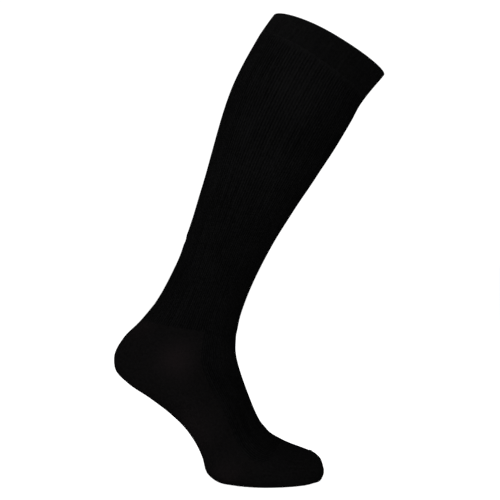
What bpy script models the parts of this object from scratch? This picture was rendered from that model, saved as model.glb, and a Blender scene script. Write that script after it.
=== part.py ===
# A black knee-high compression stocking, filled out by a leg that is not there: the foot stands on
# its ball and toes, the heel is raised and the leg leans forward over them.
#
# The knitted tube is a loft through rings. Each ring is an oval, square to the middle plane Y = 0,
# drawn between a point on the shin side (front) and a point on the calf side (back). Down the leg
# the rings lie across it, round the heel they fan out from the bend of the instep, and along the
# foot they run from the top of the foot to the sole. The tube is made in five pieces, as it is
# knitted: top band, leg, heel pocket, foot and toe pocket. Fine ribs run down the leg, raised on
# its outside alone.
#
# The sizes are in millimetres, and the table's X runs forward from the back of the heel and its Z
# up from the floor. The objects are in metres, about an origin in the middle of the mouth.

import bmesh
import bpy
import numpy as np

MM = 0.001

WALL = 1.2  # knitted cloth, stretched on the leg
BAND_WALL = 2.4  # the top band is turned over and so is double
BAND_PROUD = 0.5  # the band stands this far out from the leg
BAND_ROUND = 0.9  # radius of the fold at the mouth and of the band's lower edge
SEAM_GAP = 0.5  # where two pieces meet, on the longer side of the ring; about 0.3 on the shorter
FLOOR = 0.0

RIBS = 120  # round the leg, 3 mm from rib to rib at the calf
RIB_DEEP = 0.4  # from the groove between two ribs to their crests

AROUND = 40  # points round a plain ring; a ribbed one has a crest and a groove for each rib
ARC_POINTS = 400  # along half a ring before it is spaced evenly
STEP_LEG = 26.0  # longest step from ring to ring
STEP_BAND = 10.0
STEP_HEEL = 10.0
STEP_FOOT = 10.0
STEP_TOE = 7.5
SEAM_STEP = 2.0  # the ring next to a seam, so that the two pieces' edges face each other squarely
FOLD_STEPS = 2  # faces round each folded edge of the band
FOLD_ANGLE = np.radians(60)  # edges sharper than this are folds

MOUTH, BAND_FOOT, ANKLE = "mouth", "band foot", "ankle bones"
ARCH, TOES, TOE_END = "arch", "toe roots", "toe end"

# widest: where the ring is widest, as a share of the way from its back point to its front point.
# front, back round: 2 is an ellipse, more is squarer. A back point under the floor is pressed flat.
COLUMNS = (
    "station",
    "front_x",
    "front_z",
    "back_x",
    "back_z",
    "half_width",
    "widest",
    "front_round",
    "back_round",
)
SECTIONS = (
    (MOUTH, 270.4, 403.4, 160.2, 462.0, 58.2, 0.42, 1.72, 1.85),
    (BAND_FOOT, 250.2, 378.9, 146.7, 443.1, 57.6, 0.43, 1.72, 1.9),
    ("below the knee", 235.6, 353.2, 127.6, 410.5, 57.0, 0.44, 1.75, 1.95),
    ("full calf", 218.4, 324.8, 113.8, 379.1, 55.5, 0.44, 1.75, 1.95),
    ("calf", 200.6, 297.8, 103.9, 347.2, 52.5, 0.44, 1.75, 2.0),
    ("low calf", 181.5, 269.3, 94.4, 312.8, 47.5, 0.45, 1.75, 2.0),
    ("shin", 163.9, 241.5, 84.8, 280.1, 42.0, 0.47, 1.8, 2.0),
    ("low shin", 147.3, 211.7, 74.5, 247.2, 37.5, 0.5, 1.85, 2.0),
    ("small of the leg", 134.3, 183.8, 64.3, 217.9, 35.0, 0.54, 1.9, 2.0),
    (ANKLE, 126.5, 161.4, 53.3, 195.6, 34.5, 0.58, 2.0, 2.1),
    ("heel cord", 123.7, 149.0, 41.7, 175.4, 34.5, 0.6, 2.0, 2.1),
    ("upper heel", 122.4, 143.0, 26.7, 157.3, 34.5, 0.6, 2.0, 2.2),
    ("back of heel", 122.0, 138.0, 9.4, 139.6, 34.5, 0.6, 2.0, 2.3),
    ("heel", 121.8, 133.5, 0.4, 122.1, 34.5, 0.58, 2.0, 2.3),
    ("heel end", 121.7, 129.0, 1.3, 109.0, 34.5, 0.54, 2.0, 2.3),
    ("under heel", 122.1, 124.0, 13.6, 95.2, 34.5, 0.48, 2.0, 2.3),
    ("heel front", 123.3, 117.0, 36.4, 80.0, 35.0, 0.43, 2.0, 2.3),
    (ARCH, 126.2, 106.5, 57.4, 63.9, 36.5, 0.4, 2.0, 2.3),
    ("waist of the sole", 131.0, 92.6, 73.1, 48.5, 39.0, 0.38, 2.1, 2.3),
    ("behind the ball", 136.7, 77.4, 82.6, 34.4, 42.5, 0.36, 2.1, 2.3),
    ("ball top", 142.5, 63.6, 88.6, 21.4, 45.5, 0.35, 2.1, 2.3),
    ("ball", 148.7, 52.8, 93.2, 6.9, 48.0, 0.36, 2.2, 2.4),
    ("tread", 156.2, 44.6, 101.8, 0.5, 49.5, 0.38, 2.2, 2.7),
    (TOES, 166.0, 38.3, 120.0, -2.2, 51.0, 0.4, 2.2, 3.6),
    ("toes", 176.0, 33.2, 140.0, -4.5, 51.0, 0.42, 2.3, 4.6),
    ("toe joints", 186.2, 29.2, 160.0, -4.5, 50.0, 0.44, 2.3, 4.4),
    ("toe ends", 195.4, 25.6, 178.5, -4.0, 46.0, 0.46, 2.3, 3.8),
    ("toe round", 202.8, 22.0, 195.0, -2.4, 38.5, 0.48, 2.3, 3.0),
    ("toe tip", 207.8, 16.5, 205.6, -0.5, 24.5, 0.5, 2.2, 2.4),
    (TOE_END, 209.2, 11.6, 208.9, 3.2, 11.5, 0.5, 2.1, 2.1),
)

STATIONS = [row[0] for row in SECTIONS]
TABLE = np.array([row[1:] for row in SECTIONS])
ORIGIN = np.array(
    [
        (TABLE[0, 0] + TABLE[0, 2]) / 2,
        0.0,
        (TABLE[0, 1] + TABLE[0, 3]) / 2,
    ]
)


def runs_of_rows():
    """How far down the tube each row lies, measured on whichever side is longer."""
    front = np.hypot(*np.diff(TABLE[:, 0:2], axis=0).T)
    back = np.hypot(*np.diff(TABLE[:, 2:4], axis=0).T)
    return np.concatenate([[0.0], np.cumsum(np.maximum(front, back))])


RUNS = runs_of_rows()
SLOPES = np.gradient(TABLE, RUNS, axis=0)


def run_of(station):
    return RUNS[STATIONS.index(station)]


def section_at(run):
    """The table's row at any run: a smooth curve through each column."""
    i = int(np.clip(np.searchsorted(RUNS, run, side="right") - 1, 0, len(RUNS) - 2))
    span = RUNS[i + 1] - RUNS[i]
    s = (run - RUNS[i]) / span
    values = (
        TABLE[i] * (2 * s**3 - 3 * s**2 + 1)
        + SLOPES[i] * span * (s**3 - 2 * s**2 + s)
        + TABLE[i + 1] * (3 * s**2 - 2 * s**3)
        + SLOPES[i + 1] * span * (s**3 - s**2)
    )
    return dict(zip(COLUMNS[1:], values))


def half_oval(section):
    """One side of a ring from front to back: share of the depth, and width from the middle."""
    angle = np.linspace(0.0, np.pi, ARC_POINTS + 1)
    forward = angle <= np.pi / 2
    power = 2 / np.where(forward, section["front_round"], section["back_round"])
    along = np.abs(np.cos(angle)) ** power
    widest = section["widest"]
    depth = np.where(forward, widest + (1 - widest) * along, widest * (1 - along))
    return depth, section["half_width"] * np.abs(np.sin(angle)) ** power


def ring_at(run, out=0.0, points=AROUND):
    """A ring's points, evenly spaced: its front point first, round by +Y to the back and home by -Y.

    out makes the ring larger all round.
    """
    section = section_at(run)
    front = np.array([section["front_x"], 0.0, section["front_z"]])
    back = np.array([section["back_x"], 0.0, section["back_z"]])
    forward = (front - back) / np.linalg.norm(front - back)
    front, back = front + forward * out, back - forward * out
    section["half_width"] += out
    depth, width = half_oval(section)
    side = back + np.outer(depth, front - back)
    side[:, 1] = width
    side[:, 2] = np.maximum(side[:, 2], FLOOR)
    length = np.concatenate([[0.0], np.cumsum(np.linalg.norm(np.diff(side, axis=0), axis=1))])
    even = np.linspace(0.0, length[-1], points // 2 + 1)
    half = np.stack([np.interp(even, length, side[:, axis]) for axis in range(3)], axis=1)
    half[[0, -1], 1] = 0.0
    other = half[-2:0:-1] * (1, -1, 1)
    return np.concatenate([half, other])


def ribbed(ring):
    """The ring with every other point sunk into the groove between two ribs."""
    along = np.roll(ring, -1, axis=0) - np.roll(ring, 1, axis=0)
    across = np.cross(ring[0] - ring[len(ring) // 2], (0.0, 1.0, 0.0))
    outward = np.cross(along, across)
    outward /= np.linalg.norm(outward, axis=1)[:, None]
    outward *= np.sign(np.sum(outward * (ring - ring.mean(axis=0)), axis=1))[:, None]
    groove = np.arange(len(ring)) % 2 == 1
    return ring - outward * groove[:, None] * RIB_DEEP


def runs_between(first, last, step):
    """Where the rings from one station to another lie, ending half a gap short of each seam."""
    start = 0.0 if first == MOUTH else run_of(first) + SEAM_GAP / 2
    end = run_of(last) if last == TOE_END else run_of(last) - SEAM_GAP / 2
    count = int(np.ceil((end - start) / step)) + 1
    runs = np.linspace(start, end, count)
    near = [[start + SEAM_STEP], [end - SEAM_STEP]]
    return np.concatenate([runs[:1], near[0], runs[1:-1], near[1], runs[-1:]])


def add_skin(mesh, rings):
    """Adds the open surface through the rings to a bmesh, and returns its rows of points."""
    rows = [[mesh.verts.new((point - ORIGIN) * MM) for point in ring] for ring in rings]
    for upper, lower in zip(rows, rows[1:]):
        for i in range(len(upper)):
            j = (i + 1) % len(upper)
            mesh.faces.new((upper[i], upper[j], lower[j], lower[i]))
    return rows


def add_tip(mesh, row, centre):
    tip = mesh.verts.new((centre - ORIGIN) * MM)
    for i in range(len(row)):
        mesh.faces.new((row[i], row[(i + 1) % len(row)], tip))


def add_rim(mesh, outer, inner):
    """Joins a ribbed row to the plain row inside it, which has a point for several of its own."""
    each = len(outer) // len(inner)
    for j in range(len(inner)):
        here, after = inner[j], inner[(j + 1) % len(inner)]
        first, middle, last = each * j, each * j + each // 2, each * (j + 1)
        for i in range(first, last):
            nearer = here if i < middle else after
            mesh.faces.new((outer[i], outer[(i + 1) % len(outer)], nearer))
        mesh.faces.new((outer[middle], here, after))


def made_object(name, mesh):
    bmesh.ops.recalc_face_normals(mesh, faces=mesh.faces)
    data = bpy.data.meshes.new(name)
    mesh.to_mesh(data)
    mesh.free()
    data.shade_smooth()
    return bpy.data.objects.new(name, data)


def plain_tube(name, runs, wall, out=0.0, close_end=False):
    """A smooth tube through the rings at these runs, its wall thickened inward."""
    rings = [ring_at(run, out) for run in runs]
    mesh = bmesh.new()
    rows = add_skin(mesh, rings)
    if close_end:
        add_tip(mesh, rows[-1], rings[-1].mean(axis=0))
    tube = made_object(name, mesh)
    solidify = tube.modifiers.new("wall", "SOLIDIFY")
    solidify.thickness = wall * MM
    solidify.offset = -1.0
    solidify.use_even_offset = True
    solidify.use_rim = True
    return tube


def ribbed_tube(name, runs, wall):
    """A tube with ribs along its outside and a plain inside."""
    mesh = bmesh.new()
    outer = add_skin(mesh, [ribbed(ring_at(run, points=2 * RIBS)) for run in runs])
    inner = add_skin(mesh, [ring_at(run, -wall - RIB_DEEP / 2) for run in runs])
    add_rim(mesh, outer[0], inner[0])
    add_rim(mesh, outer[-1], inner[-1])
    return made_object(name, mesh)


def rounded_edges(obj, radius):
    bevel = obj.modifiers.new("folded edges", "BEVEL")
    bevel.width = radius * MM
    bevel.segments = FOLD_STEPS
    bevel.limit_method = "ANGLE"
    bevel.angle_limit = FOLD_ANGLE


def knit_material(name, base, roughness):
    material = bpy.data.materials.new(name)
    material.use_nodes = True
    shader = material.node_tree.nodes["Principled BSDF"]
    shader.inputs["Base Color"].default_value = (*base, 1.0)
    shader.inputs["Roughness"].default_value = roughness
    shader.inputs["Metallic"].default_value = 0.0
    material.diffuse_color = (*base, 1.0)
    return material


def top_band():
    """Turned welt round the mouth, double cloth, a little proud of the leg."""
    runs = runs_between(MOUTH, BAND_FOOT, STEP_BAND)
    band = plain_tube("top_band", runs, BAND_WALL, BAND_PROUD)
    rounded_edges(band, BAND_ROUND)
    band.data.materials.append(knit_material("band knit", (0.008, 0.008, 0.0085), 0.85))
    return band


def leg():
    """Ribbed leg from the band to the ankle bones."""
    tube = ribbed_tube("leg", runs_between(BAND_FOOT, ANKLE, STEP_LEG), WALL)
    tube.data.materials.append(knit_material("leg knit", (0.008, 0.008, 0.0085), 0.88))
    return tube


def heel_pocket():
    """Plain-knit heel, whose rings fan out from the bend of the instep."""
    heel = plain_tube("heel_pocket", runs_between(ANKLE, ARCH, STEP_HEEL), WALL)
    heel.data.materials.append(knit_material("heel knit", (0.011, 0.0095, 0.0098), 0.9))
    return heel


def foot():
    """Instep and sole from the arch to the toe roots, flat under the ball."""
    tube = plain_tube("foot", runs_between(ARCH, TOES, STEP_FOOT), WALL)
    tube.data.materials.append(knit_material("foot knit", (0.008, 0.008, 0.0085), 0.88))
    return tube


def toe_pocket():
    """Closed toe, flat underneath."""
    toe = plain_tube("toe_pocket", runs_between(TOES, TOE_END, STEP_TOE), WALL, close_end=True)
    toe.data.materials.append(knit_material("toe knit", (0.011, 0.0095, 0.0098), 0.9))
    return toe


def clear_scene():
    for obj in list(bpy.data.objects):
        bpy.data.objects.remove(obj, do_unlink=True)


def main():
    clear_scene()
    collection = bpy.data.collections.new("compression_stocking")
    bpy.context.scene.collection.children.link(collection)
    for piece in (top_band(), leg(), heel_pocket(), foot(), toe_pocket()):
        collection.objects.link(piece)


main()
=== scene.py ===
# A black knee-high compression stocking, filled out by a leg that is not there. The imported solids
# give its place; here the cloth gets its ribs, heel, toe, seams and knit.

import math

import bpy
import numpy as np
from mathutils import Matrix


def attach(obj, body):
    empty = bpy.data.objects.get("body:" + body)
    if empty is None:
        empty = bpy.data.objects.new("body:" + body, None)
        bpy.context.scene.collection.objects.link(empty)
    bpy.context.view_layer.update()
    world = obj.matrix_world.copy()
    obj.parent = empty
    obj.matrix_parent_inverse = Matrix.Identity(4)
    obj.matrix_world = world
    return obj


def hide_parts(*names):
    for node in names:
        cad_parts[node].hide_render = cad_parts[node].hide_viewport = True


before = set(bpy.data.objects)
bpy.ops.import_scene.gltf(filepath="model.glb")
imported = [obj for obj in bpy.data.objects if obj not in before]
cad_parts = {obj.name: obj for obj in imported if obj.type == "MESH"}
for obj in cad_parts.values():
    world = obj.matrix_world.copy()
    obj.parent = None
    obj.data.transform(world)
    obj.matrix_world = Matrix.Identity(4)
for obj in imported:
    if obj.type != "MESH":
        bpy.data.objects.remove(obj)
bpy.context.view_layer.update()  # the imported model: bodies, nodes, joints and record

mm = 0.001

# The tube's form in millimetres, X forward from the back of the heel and Z up from the floor. Each
# row is a ring across the tube, from a point on the shin side (front) to one on the calf side
# (back): half its width, where between the two it is widest (1 is at the front), and how full its
# front and back are (2 is an ellipse, less is sharper, more is squarer).
form = {
    "floor": 0.0,
    "arcPoints": 400,  # along half a ring before it is spaced evenly
    "nudge": 0.25,  # to the rings on both sides that show which way the cloth faces
    "columns": (
        "frontX", "frontZ", "backX", "backZ", "halfWidth", "widest", "frontRound", "backRound",
    ),
    "rows": (
        ("mouth", 270.4, 403.4, 160.2, 462.0, 58.2, 0.42, 1.72, 1.85),
        ("bandFoot", 250.2, 378.9, 146.7, 443.1, 57.6, 0.43, 1.72, 1.9),
        ("belowTheKnee", 235.6, 353.2, 127.6, 410.5, 57.0, 0.44, 1.75, 1.95),
        ("fullCalf", 218.4, 324.8, 113.8, 379.1, 55.5, 0.44, 1.75, 1.95),
        ("calf", 200.6, 297.8, 103.9, 347.2, 52.5, 0.44, 1.75, 2.0),
        ("lowCalf", 181.5, 269.3, 94.4, 312.8, 47.5, 0.45, 1.75, 2.0),
        ("shin", 163.9, 241.5, 84.8, 280.1, 42.0, 0.47, 1.8, 2.0),
        ("lowShin", 147.3, 211.7, 74.5, 247.2, 37.5, 0.5, 1.85, 2.0),
        ("smallOfTheLeg", 134.3, 183.8, 64.3, 217.9, 35.0, 0.54, 1.9, 2.0),
        ("ankle", 126.5, 161.4, 53.3, 195.6, 34.5, 0.58, 2.0, 2.1),
        ("heelCord", 123.7, 149.0, 41.7, 175.4, 34.5, 0.6, 2.0, 2.1),
        ("upperHeel", 122.4, 143.0, 26.7, 157.3, 34.5, 0.6, 2.0, 2.2),
        ("backOfHeel", 122.0, 138.0, 9.4, 139.6, 34.5, 0.6, 2.0, 2.3),
        ("heel", 121.8, 133.5, 0.4, 122.1, 34.5, 0.58, 2.0, 2.3),
        ("heelEnd", 121.7, 129.0, 1.3, 109.0, 34.5, 0.54, 2.0, 2.3),
        ("underHeel", 122.1, 124.0, 13.6, 95.2, 34.5, 0.48, 2.0, 2.3),
        ("heelFront", 123.3, 117.0, 36.4, 80.0, 35.0, 0.43, 2.0, 2.3),
        ("arch", 126.2, 106.5, 57.4, 63.9, 36.5, 0.4, 2.0, 2.3),
        ("waistOfTheSole", 131.0, 92.6, 73.1, 48.5, 39.0, 0.38, 2.1, 2.3),
        ("behindTheBall", 136.7, 77.4, 82.6, 34.4, 42.5, 0.36, 2.1, 2.3),
        ("ballTop", 142.5, 63.6, 88.6, 21.4, 45.5, 0.35, 2.1, 2.3),
        ("ball", 148.7, 52.8, 93.2, 6.9, 48.0, 0.36, 2.2, 2.4),
        ("tread", 156.2, 44.6, 101.8, 0.5, 49.5, 0.38, 2.2, 2.7),
        ("toeRoots", 166.0, 38.3, 120.0, -2.2, 51.0, 0.4, 2.2, 3.6),
        ("toes", 176.0, 33.2, 140.0, -4.5, 51.0, 0.42, 2.3, 4.6),
        ("toeJoints", 186.2, 29.2, 160.0, -4.5, 50.0, 0.44, 2.3, 4.4),
        ("toeEnds", 195.4, 25.6, 178.5, -4.0, 46.0, 0.46, 2.3, 3.8),
        ("toeRound", 202.8, 22.0, 195.0, -2.4, 38.5, 0.48, 2.3, 3.0),
        ("toeTip", 207.8, 16.5, 205.6, -0.5, 24.5, 0.5, 2.2, 2.4),
        ("toeEnd", 209.2, 11.6, 208.9, 3.2, 11.5, 0.5, 2.1, 2.1),
    ),
}
stations = [row[0] for row in form["rows"]]
table = np.array([row[1:] for row in form["rows"]])
origin = np.array([(table[0, 0] + table[0, 2]) / 2, 0.0, (table[0, 1] + table[0, 3]) / 2])


def runsOfRows():
    # how far down the tube each row lies, on whichever side is longer
    frontStep = np.hypot(*np.diff(table[:, 0:2], axis=0).T)
    backStep = np.hypot(*np.diff(table[:, 2:4], axis=0).T)
    return np.concatenate([[0.0], np.cumsum(np.maximum(frontStep, backStep))])


runs = runsOfRows()
slopes = np.gradient(table, runs, axis=0)


def runOf(station):
    return runs[stations.index(station)]


def sectionsAt(at):
    # the table's columns at any runs: a smooth curve through each
    i = np.clip(np.searchsorted(runs, at, side="right") - 1, 0, len(runs) - 2)
    span = (runs[i + 1] - runs[i])[:, None]
    s = (at - runs[i])[:, None] / span
    values = (
        table[i] * (2 * s**3 - 3 * s**2 + 1)
        + slopes[i] * span * (s**3 - 2 * s**2 + s)
        + table[i + 1] * (3 * s**2 - 2 * s**3)
        + slopes[i + 1] * span * (s**3 - s**2)
    )
    return dict(zip(form["columns"], values.T[:, :, None]))


def smoothStep(low, high, value):
    t = np.clip((value - low) / (high - low), 0.0, 1.0)
    return t * t * (3 - 2 * t)


def hump(value, middle, wide):
    # 1 in the middle, and next to nothing two widths away
    return np.exp(-(((value - middle) / wide) ** 2))


def unit(vectors):
    return vectors / np.linalg.norm(vectors, axis=-1, keepdims=True)


# The ribs of the instep keep their distance to the front round the bend, and the heel pocket takes
# the rest of the ring. Shares of the way round count wales, from 0 at the front to 1 at the back.
instep = {
    "edge": 0.40,  # the wale where the instep ends and heel and sole begin
    "reach": 47.5,  # from the front to that wale at the bend
    "bend": ("ankle", "upperHeel", "arch", "behindTheBall"),
}


def waleShares(at, lengths, count):
    # how far round, as a share of its length, each of count + 1 wales lies on each ring
    start, full, leave, end = (runOf(station) for station in instep["bend"])
    bend = smoothStep(start, full, at) * (1 - smoothStep(leave, end, at))
    edge = instep["edge"]
    edgeAt = edge + bend * (np.minimum(edge, instep["reach"] / lengths) - edge)
    wale = np.linspace(0.0, 1.0, count + 1)[None, :]
    before = wale * (edgeAt / edge)[:, None]
    after = 1 - (1 - wale) * ((1 - edgeAt) / (1 - edge))[:, None]
    return np.where(wale < edge, before, after)


def ringsAt(at, around):
    # rings of points: front point first, round by +Y to the back and home by -Y
    c = sectionsAt(at)
    angle = np.linspace(0.0, np.pi, form["arcPoints"] + 1)[None, :]
    forward = angle <= np.pi / 2
    power = 2 / np.where(forward, c["frontRound"], c["backRound"])
    along = np.abs(np.cos(angle)) ** power
    depth = np.where(forward, c["widest"] + (1 - c["widest"]) * along, c["widest"] * (1 - along))
    x = c["backX"] + depth * (c["frontX"] - c["backX"])
    y = c["halfWidth"] * np.abs(np.sin(angle)) ** power
    z = np.maximum(c["backZ"] + depth * (c["frontZ"] - c["backZ"]), form["floor"])
    sides = np.stack([x, y, z], axis=2)
    steps = np.linalg.norm(np.diff(sides, axis=1), axis=2)
    lengths = np.concatenate([0 * steps[:, :1], np.cumsum(steps, axis=1)], axis=1)
    places = waleShares(at, lengths[:, -1], around // 2) * lengths[:, -1:]
    rings = []
    for side, length, place in zip(sides, lengths, places):
        half = np.stack([np.interp(place, length, side[:, axis]) for axis in range(3)], axis=1)
        half[[0, -1], 1] = 0.0
        rings.append(np.concatenate([half, half[-2:0:-1] * (1, -1, 1)]))
    return np.array(rings)


def acrossRings(rings):
    # at each point, from its neighbour on one side to its neighbour on the other
    return np.roll(rings, -1, axis=1) - np.roll(rings, 1, axis=1)


def surfaceAt(at, around):
    # the rings and the way out from the cloth at each of their points
    rings = ringsAt(at, around)
    down = ringsAt(at + form["nudge"], around) - ringsAt(at - form["nudge"], around)
    return rings, unit(np.cross(down, acrossRings(rings)))


noise = {
    "waves": 8,
    "lengths": (0.7, 1.5),  # the waves' lengths, as shares of the size asked for
}


def softNoise(points, size, seed):
    # waves in many directions, each about size long; the sum stays mostly between -1 and 1
    random = np.random.default_rng(seed)
    total = np.zeros(points.shape[:-1])
    for i in range(noise["waves"]):
        way = random.normal(size=3)
        way *= 2 * math.pi / (np.linalg.norm(way) * size * random.uniform(*noise["lengths"]))
        total += np.sin(points @ way + random.uniform(0, 2 * math.pi))
    return total * 2 / noise["waves"]


class Maker:
    # gathers points and faces, each face corner with its place on the knit (wale share, metres down)
    def __init__(self):
        self.points, self.faces, self.places, self.count = [], [], [], 0

    def add(self, points):
        # takes points in rows, and hands back their numbers in the same rows
        start = self.count
        self.points.append(points.reshape(-1, 3))
        self.count += len(self.points[-1])
        return start + np.arange(self.count - start).reshape(points.shape[:-1])

    def face(self, corners, places):
        self.faces.extend(corners.tolist())
        self.places.append(places.reshape(-1, 2))

    def tube(self, index, across, down, inward=False):
        # quads between rows of point numbers; down holds four values a quad, one for each corner
        after = np.roll(index, -1, axis=1)
        corners = np.stack([index[:-1], index[1:], after[1:], after[:-1]], axis=2)
        places = np.stack([across, down], axis=3)
        if inward:
            corners, places = corners[:, :, ::-1], places[:, :, ::-1]
        self.face(corners.reshape(-1, 4), places)

    def fan(self, row, tip, inward=False):
        after = np.roll(row, -1)
        corners = np.stack([row, np.full_like(row, tip), after], axis=1)
        self.face(corners[:, ::-1] if inward else corners, np.zeros((len(row), 3, 2)))

    def rim(self, outer, inner):
        # one face from several outer points to the two inner points beside them
        each = len(outer) // len(inner)
        for j in range(len(inner)):
            near = [outer[(each * j + k) % len(outer)] for k in range(each + 1)]
            corners = np.array([[*near, inner[(j + 1) % len(inner)], inner[j]]])
            self.face(corners, np.zeros((1, each + 3, 2)))

    def build(self, name, attributes=None):
        # attributes hold one value a point, in the order in which the points were added
        data = bpy.data.meshes.new(name)
        places = np.concatenate(self.places)
        points = (np.concatenate(self.points) - origin) * mm
        data.from_pydata(points.tolist(), [], self.faces)
        knitMap = data.uv_layers.new(name="knit")
        knitMap.uv.foreach_set("vector", places.astype(np.float32).ravel())
        for key, fields in (attributes or {}).items():
            layer = data.attributes.new(key, "FLOAT", "POINT")
            values = np.concatenate([field.ravel() for field in fields])
            filled = np.zeros(len(data.vertices), np.float32)
            filled[: len(values)] = values
            layer.data.foreach_set("value", filled)
        data.validate()
        data.shade_smooth()
        piece = bpy.data.objects.new(name, data)
        bpy.context.scene.collection.objects.link(piece)
        print(name + ":", len(data.polygons), "faces")
        return piece


def mathNode(operation, reflected=False):
    def apply(wire, other):
        values = (other, wire) if reflected else (wire, other)
        return wire.shader.node("ShaderNodeMath", {"operation": operation}, values)

    return apply


class Wire:
    # a node's output; an expression such as 1 - wire * 2 adds the Math nodes for it
    __add__, __radd__ = mathNode("ADD"), mathNode("ADD", reflected=True)
    __sub__, __rsub__ = mathNode("SUBTRACT"), mathNode("SUBTRACT", reflected=True)
    __mul__, __rmul__ = mathNode("MULTIPLY"), mathNode("MULTIPLY", reflected=True)
    __truediv__, __rtruediv__ = mathNode("DIVIDE"), mathNode("DIVIDE", reflected=True)

    def __init__(self, shader, socket):
        self.shader, self.socket = shader, socket

    def __abs__(self):
        return self.math("ABSOLUTE")

    def math(self, operation):
        return self.shader.node("ShaderNodeMath", {"operation": operation}, (self,))

    def wave(self, turn="SINE"):
        # between 0 and 1, once up and down for each whole number
        return (self * (2 * math.pi)).math(turn) * 0.5 + 0.5


class Shader:
    # a material or world under way; node() adds any node and hands back one of its outputs
    def __init__(self, owner):
        owner.use_nodes = True
        self.owner, self.tree = owner, owner.node_tree
        self.tree.nodes.clear()

    def node(self, kind, settings=None, sockets=(), output=0):
        made = self.tree.nodes.new(kind)
        for key, value in (settings or {}).items():
            setattr(made, key, value)
        pairs = sockets.items() if isinstance(sockets, dict) else enumerate(sockets)
        for key, value in pairs:
            if isinstance(value, Wire):
                self.tree.links.new(value.socket, made.inputs[key])
            else:
                made.inputs[key].default_value = value
        return Wire(self, made.outputs[output]) if made.outputs else None

    def attribute(self, name):
        return self.node("ShaderNodeAttribute", {"attribute_name": name}, (), "Fac")

    def noise(self, place, scale, detail, roughness=0.5):
        # its values lie about 0.5
        sockets = {"Vector": place, "Scale": scale, "Detail": detail, "Roughness": roughness}
        return self.node("ShaderNodeTexNoise", None, sockets)

    def mixColours(self, factor, one, other):
        # a Mix node's colours are its sockets 6 and 7, and their mix is its output 2
        sockets = {"Factor": factor, 6: one, 7: other}
        return self.node("ShaderNodeMix", {"data_type": "RGBA"}, sockets, 2)

    def mixNumbers(self, factor, one, other):
        return one + factor * (other - one)

    def bump(self, height, strength, distance):
        sockets = {"Strength": strength, "Distance": distance, "Height": height}
        return self.node("ShaderNodeBump", None, sockets)

    def finish(self, surface):
        principled = self.node("ShaderNodeBsdfPrincipled", None, surface)
        self.node("ShaderNodeOutputMaterial", None, {"Surface": principled})
        return self.owner


# Millimetres, but for shares of the way round.
stocking = {
    "wall": 1.2,
    "tuckedUp": 0.6,  # how far the leg's edge goes up into the band
    "ribs": 120,
    "walesEachRib": 2,  # one down each slope
    "pointsEachRib": 4,  # crest, slope, groove, slope
    "ribDeep": 0.45,
    "ribShoulder": 0.62,  # how high a rib stands halfway to the groove
    "ribUneven": (22.0, 0.25),  # how long each patch is, and how much it differs
    "uneven": (38.0, 0.12),
    "rowStep": 4.6,
    "belowBand": (-1.0, 4.0),  # from here to here the relief comes out from under the band
    "swell": (0.4, 1.0, 16.0),  # the leg's top stands out to the band: how far, and where it fades
    "soleBlend": 0.02,  # how soft the change from ribs to plain knit is
    "heelBlend": 2.5,
    "toeBlend": (-1.0, 2.0),
    "bandBlend": 5.0,
    "gore": (0.42, 0.84),  # the heel's gore line runs between these
    "goreFades": (0.04, 0.08),
    "goreHigh": 0.35,
    "goreWide": 0.9,
    "toeSeamRun": runOf("toeEnds") + 6.0,
    "toeSeamEnd": 0.4,
    "toeSeamFade": 0.06,
    "toeSeamHigh": 0.35,
    "toeSeamWide": 1.1,
    "toeCap": (0.86, 0.7, 0.52, 0.33, 0.15, 0.05),  # the last rings, shrinking to the tip
    "toeCapBulge": 0.75,
    # painted shade: the toe shows only this share of the plain knit's colour
    "toeShadedTone": 0.35,  # how much of the plain knit's colour shows there
    "flat": (0.21, 0.50),  # metres: the knit all round and from end to end, before it is stretched
}
shinFold = runOf("lowShin") + 10.5
closeRows = (  # where rows lie closer together: the run, how far to both sides, and their step
    (runOf("bandFoot"), 2.0, 0.7),
    (shinFold, 6.0, 1.4),
    (runOf("upperHeel") - 1.2, 2.2, 0.7),
    (runOf("heel"), 2.4, 0.7),
    (runOf("toeRoots"), 2.2, 0.7),
    (stocking["toeSeamRun"], 3.0, 0.7),
    (runOf("toeTip"), 13.0, 1.4),
)

# Creases: the run, the share of the way round (below 0 is the -Y side), the tilt in degrees, half
# the length, half the width and the depth.
creases = (
    (shinFold, 1.0, 2.0, 26.0, 3.0, 0.36),
    (runOf("lowShin") + 30.0, -0.82, 14.0, 19.0, 2.6, 0.3),
    (runOf("ankle") + 7.0, -0.34, -18.0, 22.0, 2.4, 0.4),
    (runOf("heelCord") + 9.0, -0.22, -10.0, 20.0, 2.1, 0.45),
    (runOf("backOfHeel") + 8.0, -0.18, 4.0, 18.0, 2.0, 0.35),
    (runOf("ankle") + 5.0, 0.3, 15.0, 24.0, 2.5, 0.4),
    (runOf("heelCord") + 12.0, 0.2, 9.0, 18.0, 2.0, 0.45),
    (runOf("heelCord") + 2.0, -0.9, 8.0, 17.0, 2.6, 0.35),
    (runOf("heelCord") - 3.0, 0.86, -10.0, 20.0, 2.6, 0.35),
    (runOf("ballTop") + 3.0, -0.2, 6.0, 17.0, 2.2, 0.35),
    (runOf("tread") - 4.0, 0.12, -7.0, 21.0, 2.4, 0.4),
)
creaseShoulder = (0.45, 2.1)  # how high beside the trough, and how many half widths out
creaseFacing = 0.3  # a crease reaches only cloth that faces its own way at least this much

# Painted highlights: soft lighter patches on the calf, heel, sole and ball where light falls, on
# both sides alike: the run, the share of the way round, half the length, half the width as a share,
# and how much.
paintedHighlights = (
    (runOf("bandFoot") + 32.0, 0.5, 32.0, 0.20, 0.55),
    (runOf("calf") + 8.0, 0.55, 42.0, 0.24, 0.25),
    (runOf("heelEnd") - 2.0, 0.55, 32.0, 0.10, 0.7),
    (runOf("upperHeel") + 5.0, 0.86, 16.0, 0.10, 0.4),
    (runOf("waistOfTheSole") + 4.0, 0.72, 26.0, 0.16, 0.4),
    (runOf("tread") - 2.0, 0.62, 14.0, 0.12, 0.45),
)


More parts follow.
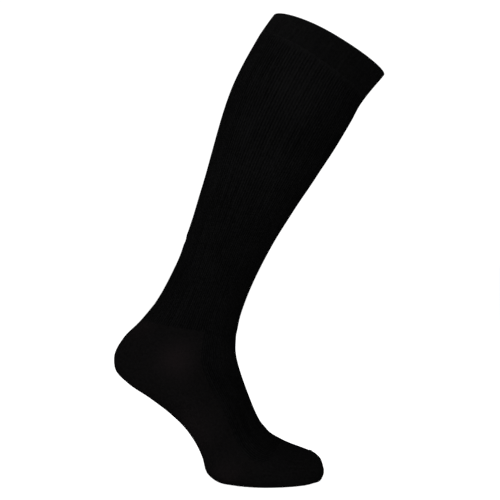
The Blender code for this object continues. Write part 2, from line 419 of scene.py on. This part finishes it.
def rowRuns(first, last, step):
    # runs of the rows from first to last, closer together where closeRows says
    shortest = min(close for run, reach, close in closeRows)
    rows = [first]
    while rows[-1] < last:
        here = rows[-1]
        within = [close for run, reach, close in closeRows if abs(here - run) < reach]
        ahead = [run - reach - here for run, reach, close in closeRows if run - reach > here]
        rows.append(here + min([step, *within, max(min([*ahead, step]), shortest)]))
    rows[-1] = last
    return np.array(rows)


def roundShare(around):
    # from 0 at the front to 1 at the back, and below 0 on the -Y side
    share = np.arange(around) * 2 / around
    return np.where(share > 1, share - 2, share)


def zonesOf(at, share):
    # how ribbed the cloth is at each point, and how much of the plain knit's colour it shows: all of
    # it on heel and sole, less towards the toe, where painted shade darkens it
    s = stocking
    down, side = at[:, None], np.abs(share)[None, :]
    heelTop, toeTop = runOf("upperHeel"), runOf("toeRoots")
    heelOrSole = smoothStep(instep["edge"], instep["edge"] + s["soleBlend"], side)
    heelOrSole = heelOrSole * smoothStep(heelTop - s["heelBlend"], heelTop, down)
    before, after = s["toeBlend"]
    toe = smoothStep(toeTop + before, toeTop + after, down) + 0 * side
    ribbed = 1 - np.maximum(heelOrSole, toe)
    # painted shade: the plain knit darkens from the tread to the toes
    fade = (1 - s["toeShadedTone"]) * smoothStep(runOf("tread"), runOf("toes"), down)
    plain = np.maximum(heelOrSole * (1 - fade), toe * s["toeShadedTone"])
    return ribbed * smoothStep(0.0, s["bandBlend"], down - runOf("bandFoot")), plain


def paintedHighlightOf(at, share):
    # 0 where no highlight is painted and up to 1 in the middle of a painted highlight
    down, side = at[:, None], np.abs(share)[None, :]
    paintedHighlight = 0 * down * side
    for run, place, halfLong, halfWide, much in paintedHighlights:
        paintedHighlight = np.maximum(paintedHighlight, much * hump(down, run, halfLong) * hump(side, place, halfWide))
    return paintedHighlight


def creaseRelief(points, outward, at):
    # soft troughs with a low shoulder on each side
    around = points.shape[1]
    shoulder, shoulderOut = creaseShoulder
    relief = np.zeros(points.shape[:2])
    for run, place, tilt, halfLong, halfWide, deep in creases:
        i = int(np.argmin(np.abs(at - run)))
        j = int(round(place * around / 2)) % around
        out = outward[i, j]
        across = unit(points[i, (j + 1) % around] - points[i, j - 1])
        lean = math.radians(tilt)
        way = math.cos(lean) * across + math.sin(lean) * np.cross(across, out)
        offset = points - points[i, j]
        x = offset @ way / halfLong
        y = offset @ np.cross(way, out) / halfWide
        fade = np.clip(1 - x**2, 0.0, 1.0) ** 2 * (outward @ out > creaseFacing)
        relief -= deep * fade * (hump(y, 0.0, 1.0) - shoulder * hump(np.abs(y), shoulderOut, 1.0))
    return relief


def seamRelief(at, share):
    # the gore line on each side of the heel, and the linked seam over the toes
    s = stocking
    down, side = at[:, None], np.abs(share)[None, :]
    first, last = s["gore"]
    rise, fall = s["goreFades"]
    gore = smoothStep(first, first + rise, side) * (1 - smoothStep(last - fall, last, side))
    gore = gore * hump(down, runOf("heel"), s["goreWide"])
    seam = 1 - smoothStep(s["toeSeamEnd"] - s["toeSeamFade"], s["toeSeamEnd"], side)
    seam = seam * hump(down, s["toeSeamRun"], s["toeSeamWide"])
    return gore * s["goreHigh"] + seam * s["toeSeamHigh"]


def underRelief(base, at, share):
    # what lies under ribs and creases: the seams, and cloth that is never quite even
    size, much = stocking["uneven"]
    return seamRelief(at, share) + softNoise(base, size, seed=5) * much


def outerRelief(base, outward, at, share, ribbed):
    # how far the outside stands out from the form
    s = stocking
    groove = np.tile((0.0, 1 - s["ribShoulder"], 1.0, 1 - s["ribShoulder"]), s["ribs"])[None, :]
    size, much = s["ribUneven"]
    relief = -s["ribDeep"] * ribbed * groove * (1 + much * softNoise(base, size, seed=11))
    relief = relief + underRelief(base, at, share) + creaseRelief(base, outward, at)
    fromBand = at - runOf("bandFoot")
    swell, full, gone = s["swell"]
    relief *= smoothStep(*s["belowBand"], fromBand)[:, None]
    relief += swell * (1 - smoothStep(full, gone, fromBand))[:, None]
    return relief


def toeCap(ring):
    # rings that close the toe, and the point in their middle
    centre = ring.mean(axis=0)
    bulge = stocking["toeCapBulge"]
    caps = []
    for scale in stocking["toeCap"]:
        caps.append(centre + (ring - centre) * scale + (bulge * (1 - scale**2), 0, 0))
    return caps, centre + (bulge, 0, 0)


def coursesOf(points, at, share):
    # metres down the knit at the four corners of each quad. Courses follow the rings, but the heel
    # has more of them at its back, in an upper and a lower half that meet at the gore line.
    step = np.linalg.norm(np.diff(points, axis=0), axis=2)
    marks = [runOf(station) for station in ("upperHeel", "heel", "arch")]
    first, gore, last = (int(np.argmin(np.abs(at - mark))) for mark in marks)
    row = np.arange(len(at) - 1)[:, None]
    inHeel = (row >= first) & (row < last)
    before = np.abs(share) < instep["edge"]
    mean = np.where(inHeel[:, 0], step[:, before].mean(axis=1), step.mean(axis=1))
    ring = np.concatenate([[0.0], np.cumsum(mean)])[:, None] + 0 * points[:, :, 0]
    length = np.concatenate([0 * step[:1], np.cumsum(step, axis=0)])
    upper = ring[first] + length - length[first]
    lower = ring[last] + length - length[last]

    def corners(field):
        after = np.roll(field, -1, axis=1)
        return np.stack([field[:-1], field[1:], after[1:], after[:-1]], axis=2)

    back = (inHeel & ~before[None, :])[:, :, None]
    heel = np.where((row < gore)[:, :, None], corners(upper), corners(lower))
    return np.where(back, heel, corners(ring)) * mm


def acrossOf(rows, around):
    # the share of the way round at the four corners of each quad
    here = np.arange(around) / around
    each = np.stack([here, here, here + 1 / around, here + 1 / around], axis=1)
    return np.broadcast_to(each, (rows - 1, around, 4))


def makeStocking():
    s = stocking
    each = s["pointsEachRib"]
    around = s["ribs"] * each
    at = rowRuns(runOf("bandFoot") - s["tuckedUp"], runOf("toeEnd"), s["rowStep"])
    share = roundShare(around)
    base, outward = surfaceAt(at, around)
    ribbed, plain = zonesOf(at, share)
    outer = base + outward * outerRelief(base, outward, at, share, ribbed)[:, :, None]
    caps, tip = toeCap(outer[-1])
    outer = np.concatenate([outer, caps])
    outer[:, :, 2] = np.maximum(outer[:, :, 2], form["floor"])
    innerRows = [*range(0, len(at) - 1, 2), len(at) - 1]  # the plain inside needs half the rows
    inner = (base - outward * s["wall"])[innerRows, ::each]

    maker = Maker()
    outerIndex = maker.add(outer)
    innerIndex = maker.add(inner)
    outerTip, innerTip = maker.add(np.array([tip, inner[-1].mean(axis=0)]))
    down = coursesOf(base, at, share)
    capDown = np.broadcast_to(down[-1:, :, 1:2], (len(caps), around, 4))
    maker.tube(outerIndex, acrossOf(len(outer), around), np.concatenate([down, capDown]))
    innerDown = coursesOf(base[innerRows, ::each], at[innerRows], share[::each])
    maker.tube(innerIndex, acrossOf(*inner.shape[:2]), innerDown, inward=True)
    maker.rim(outerIndex[0], innerIndex[0])
    maker.fan(outerIndex[-1], outerTip)
    maker.fan(innerIndex[-1], innerTip, inward=True)
    padding = ((0, len(caps)), (0, 0))
    attributes = {
        "ribbed": (np.pad(ribbed, padding), ribbed[innerRows, ::each]),
        # the plain knit's colour, less towards the toe where shade is painted
        "plain": (np.pad(plain, padding, mode="edge"), plain[innerRows, ::each]),
        # the painted highlights
        "paintedHighlight": (np.pad(paintedHighlightOf(at, share), padding),),
    }
    return maker.build("stockingKnit", attributes)


band = {
    "double": 2.4,  # both layers together
    "proud": 0.5,  # how far it stands out from the leg
    "clear": 0.25,  # its lower edge ends this far above the ring it is linked to
    "foldRound": 1.2,
    "foldPoints": 9,
    "edgeRound": 0.9,
    "edgePoints": 4,
    "around": 480,  # points round it, crest and groove in turn
    "rowStep": 1.6,
    "waleDeep": 0.1,
    "wales": (1.0, 3.0),  # the wales come up between these, below the fold
    "foldCrease": (2.6, 0.9, 0.16),  # below the fold: how far, how wide and how deep
    "uneven": (30.0, 0.15),  # how long each patch is, and how much it differs
    "flat": (0.24, 0.056),  # metres: the knit all round and both layers deep, before it is stretched
}


def bandProfile():
    # points round the band's cut, how far down and how far out: over the fold, down the outside,
    # round the lower edge and up the inside, which needs half the rows
    b = band
    low = runOf("bandFoot") - b["clear"]
    outside, inside = b["proud"], b["proud"] - b["double"]
    middle = (outside + inside) / 2
    points = []
    for angle in np.linspace(90, -90, b["foldPoints"])[:-1]:
        a = math.radians(angle)
        points.append((b["foldRound"] * (1 - math.cos(a)), middle - b["foldRound"] * math.sin(a)))
    for run in np.arange(b["foldRound"], low - b["edgeRound"], b["rowStep"]):
        points.append((run, outside))
    quarter = np.linspace(0, 90, b["edgePoints"])
    for face, turn, angles in ((outside, -1, quarter), (inside, 1, quarter[::-1])):
        for angle in angles:
            a = math.radians(angle)
            down = low - b["edgeRound"] * (1 - math.sin(a))
            points.append((down, face + turn * b["edgeRound"] * (1 - math.cos(a))))
    for run in np.arange(low - b["edgeRound"] - b["rowStep"], b["foldRound"], -2 * b["rowStep"]):
        points.append((run, inside))
    return np.array(points)


def makeBand():
    b = band
    around = b["around"]
    down, out = bandProfile().T
    base, outward = surfaceAt(down, around)
    onFace = smoothStep(*b["wales"], down) * np.isclose(out, b["proud"])
    groove = np.arange(around) % 2
    creaseAt, creaseWide, creaseDeep = b["foldCrease"]
    crease = creaseDeep * hump(down, creaseAt, creaseWide) * onFace
    size, much = b["uneven"]
    relief = -b["waleDeep"] * onFace[:, None] * groove[None, :] - crease[:, None]
    relief = relief + softNoise(base, size, seed=3) * much * onFace[:, None]
    points = base + outward * (out[:, None] + relief)[:, :, None]

    maker = Maker()
    index = maker.add(points)
    index = np.concatenate([index, index[:1]])  # the cut closes on itself
    closed = np.concatenate([points, points[:1]])
    steps = np.linalg.norm(np.diff(closed, axis=0), axis=2).mean(axis=1) * mm
    length = np.concatenate([[0.0], np.cumsum(steps)])
    corners = np.stack([length[:-1], length[1:], length[1:], length[:-1]], axis=1)
    corners = np.broadcast_to(corners[:, None, :], (len(length) - 1, around, 4))
    maker.tube(index, acrossOf(len(index), around), corners)
    noRibs = np.zeros(points.shape[:2])
    return maker.build("topBand", {"ribbed": (noRibs,)})


# The knit: stitches in the wales between the ribs' crests and grooves, and the yarn's own fuzz.
knit = {
    "wales": stocking["ribs"] * stocking["walesEachRib"],
    "course": 1.05 * mm,
    "slant": 0.45,  # how far the legs of a stitch slope, in courses
    "between": 0.35,  # how high the cloth is between two face stitches
    "backHigh": 0.6,  # a back stitch, beside a face stitch
    "stitchHigh": 0.32 * mm,
    "stitchHollowShade": 0.8,
    # how much painted shade and highlight the stitch relief puts into the colour
    "fuzzSize": 0.35 * mm,
    "fuzzDetail": (2.0, 0.6),  # a noise's detail, and how rough that is
    "fuzzHigh": 0.5,
    "fuzzShows": 0.4,
    "slubSize": 2.0 * mm,  # uneven yarn, and how much it shows
    "slubDetail": 1.0,
    "slubShows": 0.7,
    "patches": 26.0,  # lighter and darker patches, to the metre
    "patchDetail": 3.0,
    "patchShows": 0.4,
    "streakWales": 2.0,  # lines of tighter wales down the ribs
    "streakLong": 60.0 * mm,
    "streakDetail": 1.0,
    "streakShows": 0.5,
    # how much the painted highlights lighten the knit
    "highlightShows": 0.4,
    "grooveShade": 0.8,
}
finishes = {
    "ribKnit": {
        "dark": (0.0022, 0.0022, 0.0023, 1),
        "light": (0.0140, 0.0139, 0.0143, 1),
        "plainDark": (0.0026, 0.0024, 0.0025, 1),
        "plainLight": (0.0130, 0.0121, 0.0124, 1),
        "drawn": (0.0185, 0.0132, 0.0145, 1),  # the painted highlight's reddish colour on the plain knit's crests
        "roughness": (0.72, 0.9),
        "specular": 0.0,
        "bump": 0.9,
    },
    "bandKnit": {
        "dark": (0.0022, 0.0022, 0.0023, 1),
        "light": (0.0112, 0.0111, 0.0114, 1),
        "roughness": (0.74, 0.9),
        "specular": 0.0,
        "bump": 0.8,
    },
}


def knitMaterial(name):
    f, k = finishes[name], knit
    shader = Shader(bpy.data.materials.new(name))
    knitMap = shader.node("ShaderNodeUVMap", {"uv_map": "knit"})
    across = shader.node("ShaderNodeSeparateXYZ", None, (knitMap,), 0)
    down = shader.node("ShaderNodeSeparateXYZ", None, (knitMap,), 1)
    # the third attribute holds the painted highlights
    ribbed, plain, paintedHighlight = (shader.attribute(key) for key in ("ribbed", "plain", "paintedHighlight"))
    place = shader.node("ShaderNodeTexCoord", None, (), "Object")

    wale = across * k["wales"]
    course = down / k["course"]
    fromMiddle = abs(wale.math("FRACT") - 0.5) * 2
    legs = (fromMiddle * math.pi).math("SINE")  # the two legs of a stitch
    chevron = (course + fromMiddle * k["slant"]).wave()
    faceStitch = legs * (chevron * (1 - k["between"]) + k["between"])
    backStitch = (course + 0.5).wave() * k["backHigh"]
    crest = (wale / stocking["walesEachRib"]).wave("COSINE")
    inGroove = (1 - crest) * ribbed
    stitch = shader.mixNumbers(inGroove, faceStitch, backStitch)

    fuzz = shader.noise(place, 1 / k["fuzzSize"], *k["fuzzDetail"])
    slub = shader.noise(place, 1 / k["slubSize"], k["slubDetail"]) - 0.5
    patch = shader.noise(place, k["patches"], k["patchDetail"]) - 0.5
    along = (wale / k["streakWales"], down / k["streakLong"])
    streakPlace = shader.node("ShaderNodeCombineXYZ", None, along)
    streak = shader.noise(streakPlace, 1.0, k["streakDetail"]) - 0.5
    # painted shade and highlight: the tone is lighter on the stitches' crests and darker in their
    # hollows and in the ribs' grooves
    tone = (stitch * k["stitchHollowShade"] + fuzz * k["fuzzShows"]) * (1 - inGroove * k["grooveShade"])
    # painted highlights lighten the tone in their patches
    tone = tone + patch * k["patchShows"] + paintedHighlight * k["highlightShows"]
    tone = tone + slub * k["slubShows"] + streak * (1 - plain) * k["streakShows"]
    colour = shader.mixColours(tone, f["dark"], f["light"])
    if "plainLight" in f:
        plainColour = shader.mixColours(tone, f["plainDark"], f["plainLight"])
        # painted highlight: the plain knit's crests take a lighter, reddish colour in the highlight
        # patches
        plainColour = shader.mixColours(paintedHighlight * tone, plainColour, f["drawn"])
        colour = shader.mixColours(plain, colour, plainColour)

    low, top = f["roughness"]
    high = stitch + (fuzz - 0.5) * k["fuzzHigh"]
    surface = {
        "Base Color": colour,
        "Roughness": top - stitch * (top - low),
        "Specular IOR Level": f["specular"],
        "Normal": shader.bump(high, f["bump"], k["stitchHigh"]),
    }
    return shader.finish(surface)


# Threads that show: the stitches that link the band to the leg, the toe seam and the gore lines.
thread = {
    "sides": 6,
    "plump": (  # along the stitch, how fat it is there, and how high it lies in half thicknesses
        (-0.5, 0.0, -0.9),
        (-0.36, 0.75, -0.25),
        (0.0, 1.0, 0.0),
        (0.36, 0.75, -0.25),
        (0.5, 0.0, -0.9),
    ),
    "ringPoints": 960,  # the points round a ring that a seam's stitches are set on
    "dark": (0.0055, 0.0053, 0.0056, 1),
    "light": (0.0135, 0.013, 0.0135, 1),
    "roughness": (0.65, 0.85),
    "specular": 0.0,
    "fibres": 1400.0,  # to the metre
    "fibreDetail": 2.0,
    "fibreHigh": 0.2 * mm,
    "bump": 0.5,
}


def sewRow(maker, points, ways, outward, long, thick):
    # short plump stitches along ways, their ends sunk into the cloth
    sides = thread["sides"]
    half = thick / 2
    angle = np.arange(sides) * 2 * math.pi / sides
    noPlace = np.zeros((2, sides, 4))
    for point, way, out in zip(points, ways, outward):
        circle = np.cos(angle)[:, None] * np.cross(way, out) + np.sin(angle)[:, None] * out
        rings = []
        for along, fat, high in thread["plump"]:
            centre = point + way * along * long + out * high * half
            ring = centre + circle * fat * half
            rings.append(maker.add(ring if fat else centre))
        maker.fan(rings[1], rings[0], inward=True)
        maker.tube(np.array(rings[1:4]), noPlace, noPlace)
        maker.fan(rings[3], rings[4])


def stitchWays(at, around, over, lean):
    # the way a stitch lies at each point of a ring: down the cloth, and leaning to one side
    down = ringsAt(at + over, around) - ringsAt(at - over, around)
    return unit(unit(down) + lean * unit(acrossRings(ringsAt(at, around))))[0]


bandSewing = {
    "stitches": knit["wales"],
    "up": 0.1,  # above the band's foot
    "high": 0.32,
    "over": 1.0,  # how far up and down the cloth a stitch's way is taken from
    "lean": 0.35,
    "long": 1.9,
    "thick": 0.42,
}


def makeBandStitches():
    b = bandSewing
    at = np.array([runOf("bandFoot") - b["up"]])
    base, outward = surfaceAt(at, b["stitches"])
    ways = stitchWays(at, b["stitches"], b["over"], b["lean"])
    maker = Maker()
    sewRow(maker, base[0] + outward[0] * b["high"], ways, outward[0], b["long"], b["thick"])
    return maker.build("bandStitches")


toeSewing = {
    "run": stocking["toeSeamRun"],
    "reach": (0.005, stocking["toeSeamEnd"] - 0.03),  # from the front, on both sides
    "stitches": 27,  # on each side
    "over": 0.5,
    "lean": 0.5,
    "long": 2.3,
    "thick": 0.42,
}
goreSewing = {
    "run": runOf("heel"),
    "reach": stocking["gore"],
    "stitches": 22,
    "over": 0.5,
    "lean": 0.6,
    "long": 1.5,
    "thick": 0.4,
}


def makeSeamStitches(name, sewing):
    # slanted stitches along a seam's ridge, alike on both sides
    around = thread["ringPoints"]
    at = np.array([sewing["run"]])
    base, outward = surfaceAt(at, around)
    ridge = base + outward * underRelief(base, at, roundShare(around))[:, :, None]
    places = np.linspace(*sewing["reach"], sewing["stitches"]) * around / 2
    maker = Maker()
    for side in (1, -1):
        picks = np.round(side * places).astype(int) % around
        ways = stitchWays(at, around, sewing["over"], side * sewing["lean"])[picks]
        sewRow(maker, ridge[0, picks], ways, outward[0, picks], sewing["long"], sewing["thick"])
    return maker.build(name)


def threadMaterial():
    t = thread
    shader = Shader(bpy.data.materials.new("thread"))
    place = shader.node("ShaderNodeTexCoord", None, (), "Object")
    fuzz = shader.noise(place, t["fibres"], t["fibreDetail"])
    low, top = t["roughness"]
    surface = {
        "Base Color": shader.mixColours(fuzz, t["dark"], t["light"]),
        "Roughness": low + fuzz * (top - low),
        "Specular IOR Level": t["specular"],
        "Normal": shader.bump(fuzz, t["bump"], t["fibreHigh"]),
    }
    return shader.finish(surface)


# The studio, in metres.
studio = {
    "cameraAway": 1.10,  # from the stocking's middle plane
    "viewWide": 0.5,
    "viewCentre": (136.0, 227.5),  # X and Z in the form's millimetres
    "sensor": 36.0,
    "backdrop": 1.1,  # how white the room looks
    "dome": 0.06,  # and how much light it gives
    "floorGlow": 0.96,
    "floorPale": ((0.86, 0.86, 0.86, 1), (0.9, 0.9, 0.9, 1)),
    "floorGrain": {"Scale": 3.0, "Detail": 2.0},
    "floorFinish": {"Roughness": 0.9, "Specular IOR Level": 0.05},
    "floorSize": 30.0,
    "underTheSole": 0.0002,  # the floor's face just clears the sole's
}
white = (1.0, 1.0, 1.0, 1.0)
lights = (  # name, place, aimed at, size, watts, spread in degrees
    ("keyLight", (-0.55, -1.9, 0.25), (-0.10, 0.0, -0.2), 0.8, 15.0, 180),
    ("leftBack", (-1.6, 1.4, 0.25), (-0.10, 0.0, -0.2), 1.2, 13.0, 180),
    ("rightBack", (1.5, 1.3, 0.2), (-0.10, 0.0, -0.2), 1.2, 12.0, 180),
    ("mouthLight", (0.08, -0.02, 0.36), (-0.02, 0.0, -0.06), 0.12, 0.24, 70),
)


def placeCamera():
    s = studio
    scene = bpy.context.scene
    camera = bpy.data.objects.new("camera", bpy.data.cameras.new("camera"))
    scene.collection.objects.link(camera)
    x, z = s["viewCentre"]
    camera.location = ((x - origin[0]) * mm, -s["cameraAway"], (z - origin[2]) * mm)
    camera.rotation_euler = (math.pi / 2, 0.0, 0.0)
    camera.data.sensor_width = s["sensor"]
    camera.data.lens = s["sensor"] * s["cameraAway"] / s["viewWide"]
    scene.camera = camera


def makeRoom():
    # white to look at, but it lights the stocking only a little
    room = Shader(bpy.data.worlds.new("studio"))
    cast = room.node("ShaderNodeBackground", None, {"Color": white, "Strength": studio["dome"]})
    seen = room.node("ShaderNodeBackground", None, {"Color": white, "Strength": studio["backdrop"]})
    looking = room.node("ShaderNodeLightPath", None, (), "Is Camera Ray")
    mixed = room.node("ShaderNodeMixShader", None, (looking, cast, seen))
    room.node("ShaderNodeOutputWorld", None, {"Surface": mixed})
    bpy.context.scene.world = room.owner


def hangLights():
    for name, place, target, size, watts, spread in lights:
        data = bpy.data.lights.new(name, "AREA")
        data.energy = watts
        data.size = size
        data.spread = math.radians(spread)
        lamp = bpy.data.objects.new(name, data)
        lamp.visible_camera = False
        lamp.location = place
        x, y, z = np.subtract(target, place)
        lamp.rotation_euler = (math.atan2(math.hypot(x, y), -z), 0.0, math.atan2(y, x) - math.pi / 2)
        bpy.context.scene.collection.objects.link(lamp)


def layFloor():
    s = studio
    half = s["floorSize"] / 2
    height = (form["floor"] - origin[2]) * mm - s["underTheSole"]
    data = bpy.data.meshes.new("floor")
    ends = ((-half, -half), (half, -half), (half, half), (-half, half))
    data.from_pydata([(x, y, height) for x, y in ends], [], [(0, 1, 2, 3)])
    floor = bpy.data.objects.new("floor", data)
    bpy.context.scene.collection.objects.link(floor)
    shader = Shader(bpy.data.materials.new("paleFloor"))
    grain = shader.node("ShaderNodeTexNoise", None, s["floorGrain"])
    surface = {"Base Color": shader.mixColours(grain, *s["floorPale"]), **s["floorFinish"]}
    lit = shader.node("ShaderNodeBsdfPrincipled", None, surface)
    surface.update({"Emission Color": white, "Emission Strength": s["floorGlow"]})
    glowing = shader.node("ShaderNodeBsdfPrincipled", None, surface)
    looking = shader.node("ShaderNodeLightPath", None, (), "Is Camera Ray")
    mixed = shader.node("ShaderNodeMixShader", None, (looking, lit, glowing))
    shader.node("ShaderNodeOutputMaterial", None, {"Surface": mixed})
    data.materials.append(shader.owner)


def dress(piece, material, slot, *nodes):
    piece.data.materials.append(material)
    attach(piece, "root")
    if nodes:
        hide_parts(*nodes)


placeCamera()
makeRoom()
hangLights()
layFloor()
bpy.context.scene.view_settings.view_transform = "Standard"
print("studio: camera, room, lights and floor")

ribKnit = knitMaterial("ribKnit")
bandKnit = knitMaterial("bandKnit")
threads = threadMaterial()
print("materials: ribbed knit, band knit and thread")

stockingKnit = makeStocking()
dress(stockingKnit, ribKnit, "leg_knit", "leg", "heel_pocket", "foot", "toe_pocket")
topBand = makeBand()
dress(topBand, bandKnit, "band_knit", "top_band")
bandStitches = makeBandStitches()
dress(bandStitches, threads, "band_knit")
toeStitches = makeSeamStitches("toeSeamStitches", toeSewing)
dress(toeStitches, threads, "plain_knit")
goreStitches = makeSeamStitches("goreStitches", goreSewing)
dress(goreStitches, threads, "plain_knit")
